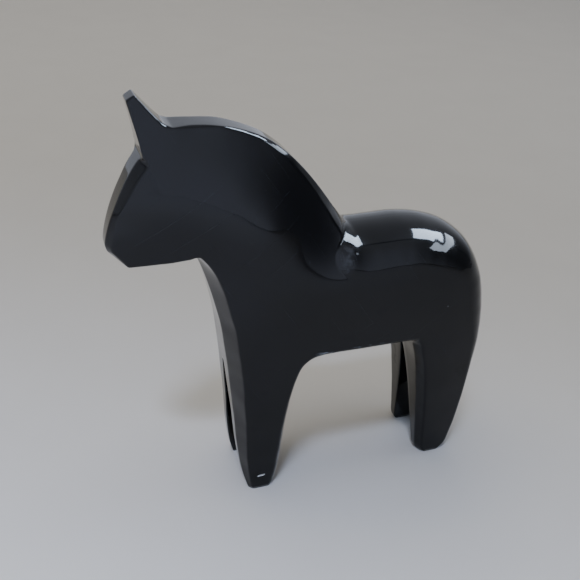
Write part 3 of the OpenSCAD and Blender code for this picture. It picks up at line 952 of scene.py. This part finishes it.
def painted_edge_glints(tree, place):
    """Painted highlights: slanting pale flecks, standing for glints on the uneven cut, in a line along
    the low edge of the left flank, between the legs.
    """
    x, y, z = add(tree, "SeparateXYZ", Vector=place).outputs
    off_edge = calc(tree, "ABSOLUTE", calc(tree, "SUBTRACT", z, low_edge))
    slanted = add(tree, "Mapping", Vector=place, Rotation=(0.0, 0.35, 0.0), Scale=(0.35, 1.0, 1.6))
    glint = ramp(tree, noise(tree, slanted.outputs[0], 1.6, 1.0), 0.54, 0.62, 0.0, 1.0)
    on_line = ramp(tree, off_edge, 0.0005, 0.0010, 1.0, 0.0)
    on_flank = ramp(tree, y, -0.018, -0.017, 1.0, 0.0)
    behind_leg = ramp(tree, x, -0.002, 0.003, 0.0, 1.0)
    before_thigh = ramp(tree, x, 0.030, 0.034, 1.0, 0.0)
    for limit in (on_line, on_flank, behind_leg, before_thigh):
        glint = calc(tree, "MULTIPLY", glint, limit)
    return glint


def painted_fold_reflection(tree, place):
    """Painted reflection: a thin uneven pale patch, brightest in the fold and gone about a centimetre
    from it.
    """
    away = away_from(tree, place, mane_fold, 0.35, (0.005, 0.012, 0.013))
    settled = ramp(tree, noise(tree, place, 2.6, 3.0), 0.42, 0.68, 0.0, 1.0)
    return calc(tree, "MULTIPLY", ramp(tree, away, 0.0, 1.0, 0.22, 0.0), settled)

# %% [markdown]
# ### Black lacquer
# Alkyd or cellulose lacquer, brushed or sprayed in two coats over a sanded ground. The pigment is
# carbon black with a breath of blue, and the resin on top is clear, so the eye sees a dark body
# under sharp reflections. The surface is not quite level: slow waves from hand sanding bend the
# reflections, and a fine orange peel one to two millimetres across breaks up the body's own sheen.

# %% Black lacquer
def black_lacquer():
    """A near-black body with its marks and painted highlights, under a clear glossy coat."""
    material, tree, shader, place = new_material("black_lacquer_brushed_gloss")
    colour = add(tree, "ValToRGB", Fac=noise(tree, place, 38, 2.0))
    low, high = colour.color_ramp.elements
    low.position, low.color = 0.35, linear("#050608")
    high.position, high.color = 0.7, linear("#0b0c11")

    # Painted highlights: the flecks on the flank's low edge are coloured lighter, as glints on the cut.
    raised = calc(tree, "MAXIMUM", dust_grains(tree, place), painted_edge_glints(tree, place))
    scratch = ramp(tree, hairlines(tree, place), 0.0, 1.0, 0.0, 0.13)
    marks = calc(tree, "MAXIMUM", raised, scratch)
    chip = hoof_chip(tree, place)
    # The lighter colour holds dust grains, scratches and the painted highlights of the edge flecks.
    dust_and_glint_colour = blend(tree, marks, colour.outputs[0], linear("#6f757c"))
    # Painted reflection: the pale patch in the fold at the foot of the mane.
    folded = blend(tree, painted_fold_reflection(tree, place), dust_and_glint_colour, linear("#8f96a0"))
    tree.links.new(blend(tree, chip, folded, linear("#e6e8ea")), shader.inputs["Base Color"])

    haze = ramp(tree, noise(tree, place, 16, 3.0), 0.42, 0.72, 0.16, 0.30)
    dull = ramp(tree, calc(tree, "MAXIMUM", marks, chip), 0.0, 1.0, 0.0, 0.6)
    tree.links.new(calc(tree, "MAXIMUM", haze, dull), shader.inputs["Roughness"])

    slow = add(tree, "Bump", Strength=0.5, Distance=0.00022, Height=noise(tree, place, 13, 1.0))
    peel = add(tree, "Bump", Strength=0.35, Distance=0.00002, Height=noise(tree, place, 1.7, 1.0),
               Normal=slow.outputs[0])
    relief = add(tree, "Bump", Strength=0.6, Distance=0.00012,
                 Height=calc(tree, "SUBTRACT", raised, chip), Normal=peel.outputs[0])
    tree.links.new(relief.outputs[0], shader.inputs["Normal"])
    tree.links.new(slow.outputs[0], shader.inputs["Coat Normal"])
    for name, value in {"IOR": 1.45, "Specular IOR Level": 0.02, "Coat Weight": 1.0,
                        "Coat Roughness": 0.06, "Coat IOR": 1.33}.items():
        shader.inputs[name].default_value = value
    return material

# %% [markdown]
# ### Ground coat and pine
# The ground is chalk and binder, sanded dull: it shows only as a thin pale line around the soles,
# and the chip in the lacquer is painted in a colour like it. The wood is fast-grown pine: pale early
# wood between darker late-wood rings, running up the legs so that they are strong, with end grain
# at the soles.

# %% Ground coat and pine
def ground_coat():
    """A dull off-white surface with the fine grain of sanding."""
    material, tree, shader, place = new_material("chalk_ground_sanded")
    grain = noise(tree, place, 0.9, 4.0)
    tree.links.new(blend(tree, grain, linear("#c9c6bd"), linear("#e9e6dd")), shader.inputs["Base Color"])
    tree.links.new(ramp(tree, grain, 0.3, 0.7, 0.75, 0.95), shader.inputs["Roughness"])
    bump = add(tree, "Bump", Strength=0.4, Distance=0.00005, Height=grain)
    tree.links.new(bump.outputs[0], shader.inputs["Normal"])
    return material


def sawn_pine():
    """Growth rings 10 mm apart around a heart that lies 60 mm ahead of the middle of the block."""
    material, tree, shader, place = new_material("pine_sawn")
    heart = add(tree, "Mapping", Vector=place, Location=(0.06, 0.02, 0.0), Scale=(1.0, 1.0, 0.05))
    wander = add(tree, "TexNoise", Vector=place, Scale=size(30), Detail=2.0)
    bent = add(tree, "VectorMath", {"operation": "MULTIPLY_ADD"}, i0=wander.outputs["Color"],
               i1=(0.004, 0.004, 0.004), i2=heart.outputs[0])
    rings = add(tree, "TexWave", {"wave_type": "RINGS", "rings_direction": "Z", "wave_profile": "SAW"},
                Vector=bent.outputs[0], Scale=size(1.6) / 20, Distortion=0.4, Detail=1.0)
    colour = add(tree, "ValToRGB", Fac=rings.outputs["Fac"])
    early, late = colour.color_ramp.elements
    early.color = linear("#e6c48e")
    late.position, late.color = 0.8, linear("#b98448")
    fibre_at = add(tree, "Mapping", Vector=place, Scale=(1.0, 1.0, 0.04))
    fibre = noise(tree, fibre_at.outputs[0], 0.5, 3.0)
    mixed = add(tree, "Mix", {"data_type": "RGBA", "blend_type": "MULTIPLY"}, i0=0.35, i6=colour.outputs[0])
    tree.links.new(add(tree, "ValToRGB", Fac=fibre).outputs[0], mixed.inputs[7])
    tree.links.new(mixed.outputs[2], shader.inputs["Base Color"])
    tree.links.new(ramp(tree, fibre, 0.3, 0.7, 0.55, 0.8), shader.inputs["Roughness"])
    bump = add(tree, "Bump", Strength=0.3, Distance=0.00008, Height=fibre)
    tree.links.new(bump.outputs[0], shader.inputs["Normal"])
    return material


lacquer.data.materials.append(black_lacquer())
ground.data.materials.append(ground_coat())
pine = sawn_pine()
for piece in boards.values():
    piece.data.materials.append(pine)

# %% [markdown]
# ## Floor and light
# The floor is a wide sheet of pale paper. Gloss black shows its surroundings more than itself, so
# the light is planned as a set of things to be reflected: a window of two panes that the rump
# catches, and pale walls all round with a dark corner in front of the rump and one thin beam across
# the ceiling. The floor has lamps of its own, which the gloss doesn't mirror.

# %% Floor
FLOOR_HALF = 1.7


def floor_sheet():
    """A square of pale paper with a faint mottle."""
    mesh = bpy.data.meshes.new("floor")
    corners = [(x * FLOOR_HALF, y * FLOOR_HALF, 0) for x, y in ((-1, -1), (1, -1), (1, 1), (-1, 1))]
    mesh.from_pydata(corners, [], [(0, 1, 2, 3)])
    floor = bpy.data.objects.new("floor", mesh)
    bpy.context.scene.collection.objects.link(floor)
    material, tree, shader, place = new_material("pale_paper")
    colour = blend(tree, noise(tree, place, 60, 3.0), linear("#d2cfc9"), linear("#d9d6d0"))
    tree.links.new(colour, shader.inputs["Base Color"])
    shader.inputs["Roughness"].default_value = 0.8
    mesh.materials.append(material)
    return floor


floor_sheet()

# %% [markdown]
# A lamp either lights the floor or is mirrored in the gloss, never both, so each can be set for its
# one job.

# %% Lights
def lamp_of(light, centre, facing, mirrored):
    """The lamp object of a light at a centre, facing a point. It is either what glossy surfaces
    mirror or what lights the floor."""
    lamp = bpy.data.objects.new(light.name, light)
    lamp.location = centre
    lamp.rotation_euler = (Vector(centre) - Vector(facing)).to_track_quat("Z", "Y").to_euler()
    lamp.visible_camera = False
    lamp.visible_glossy = mirrored
    lamp.visible_diffuse = not mirrored
    bpy.context.scene.collection.objects.link(lamp)
    return lamp


def softbox(name, centre, width, height, radiance, colour, mirrored):
    """A rectangle of light that faces the horse. Its power is the brightness that its face should
    show times pi times its area."""
    light = bpy.data.lights.new(name, "AREA")
    light.shape = "RECTANGLE"
    light.size, light.size_y, light.color = width, height, linear(colour)[:3]
    light.energy = radiance * math.pi * width * height
    return lamp_of(light, centre, (0.0, 0.0, 0.1), mirrored)


def pool_of_light(name, centre, height, radius, power, colour):
    """A soft round pool of light on the floor around a centre, from a spotlight above it."""
    light = bpy.data.lights.new(name, "SPOT")
    light.energy, light.color, light.shadow_soft_size = power, linear(colour)[:3], 0.3
    light.spot_size, light.spot_blend = 2 * math.atan2(radius, height), 0.55
    return lamp_of(light, (*centre, height), (*centre, 0.0), False)


softbox("window_upper_pane", (1.68, -0.12, 1.90), 1.05, 0.85, 44.0, "#d3e6ff", True)
softbox("window_lower_pane", (1.80, -0.40, 1.16), 1.80, 0.34, 16.0, "#dcebff", True)
softbox("overhead_sheet", (-0.2, 0.5, 2.1), 2.4, 2.4, 1.9, "#fffaf2", False)
pool_of_light("floor_pool", (-0.78, -1.12), 2.5, 1.5, 680.0, "#cddcff")

# %% [markdown]
# The room is what the gloss mirrors where there is no lamp and no floor: pale walls, brighter in
# front of the flank, darker in front of the rump, with a thin dark beam across.

# %% Room light
def glow(tree, direction, spread, strength, colour):
    """A soft patch of the room: full in one direction and gone at the spread, in degrees, from it."""
    look = add(tree, "TexCoord").outputs["Generated"]
    towards = Vector(direction).normalized()
    near = add(tree, "VectorMath", {"operation": "DOT_PRODUCT"}, i0=look, i1=towards).outputs["Value"]
    fade = add(tree, "MapRange", {"interpolation_type": "SMOOTHSTEP"}, Value=near,
               From_Min=math.cos(math.radians(spread)), From_Max=1.0, To_Min=0.0, To_Max=strength)
    tint = add(tree, "VectorMath", {"operation": "SCALE"}, i0=linear(colour)[:3])
    tree.links.new(fade.outputs[0], tint.inputs["Scale"])
    return tint.outputs[0]


def beam(tree, across, half_width):
    """Dark inside a thin straight beam that runs at right angles to a direction, and 1 elsewhere."""
    look = add(tree, "TexCoord").outputs["Generated"]
    side = add(tree, "VectorMath", {"operation": "DOT_PRODUCT"}, i0=look,
               i1=Vector(across).normalized()).outputs["Value"]
    return ramp(tree, calc(tree, "ABSOLUTE", side), half_width * 0.5, half_width, 0.25, 1.0)


world = bpy.data.worlds.new("soft_room")
world.use_nodes = True
world.cycles_visibility.diffuse = False
room = world.node_tree
walls = add(room, "VectorMath", {"operation": "ADD"}, i0=linear("#e2e8f6")[:3],
            i1=glow(room, (-0.25, -0.96, 0.12), 68, 0.9, "#cfdcff")).outputs[0]
corner = glow(room, (0.95, -0.30, 0.10), 56, 0.8, "#ffffff")
lit = add(room, "VectorMath", {"operation": "SUBTRACT"}, i0=(1.0, 1.0, 1.0), i1=corner).outputs[0]
walls = add(room, "VectorMath", {"operation": "MULTIPLY"}, i0=walls, i1=lit).outputs[0]
beamed = add(room, "VectorMath", {"operation": "SCALE"}, i0=walls)
room.links.new(beam(room, (0.0, 0.934, 0.357), 0.03), beamed.inputs["Scale"])
room.links.new(beamed.outputs[0], room.nodes["Background"].inputs[0])
bpy.context.scene.world = world
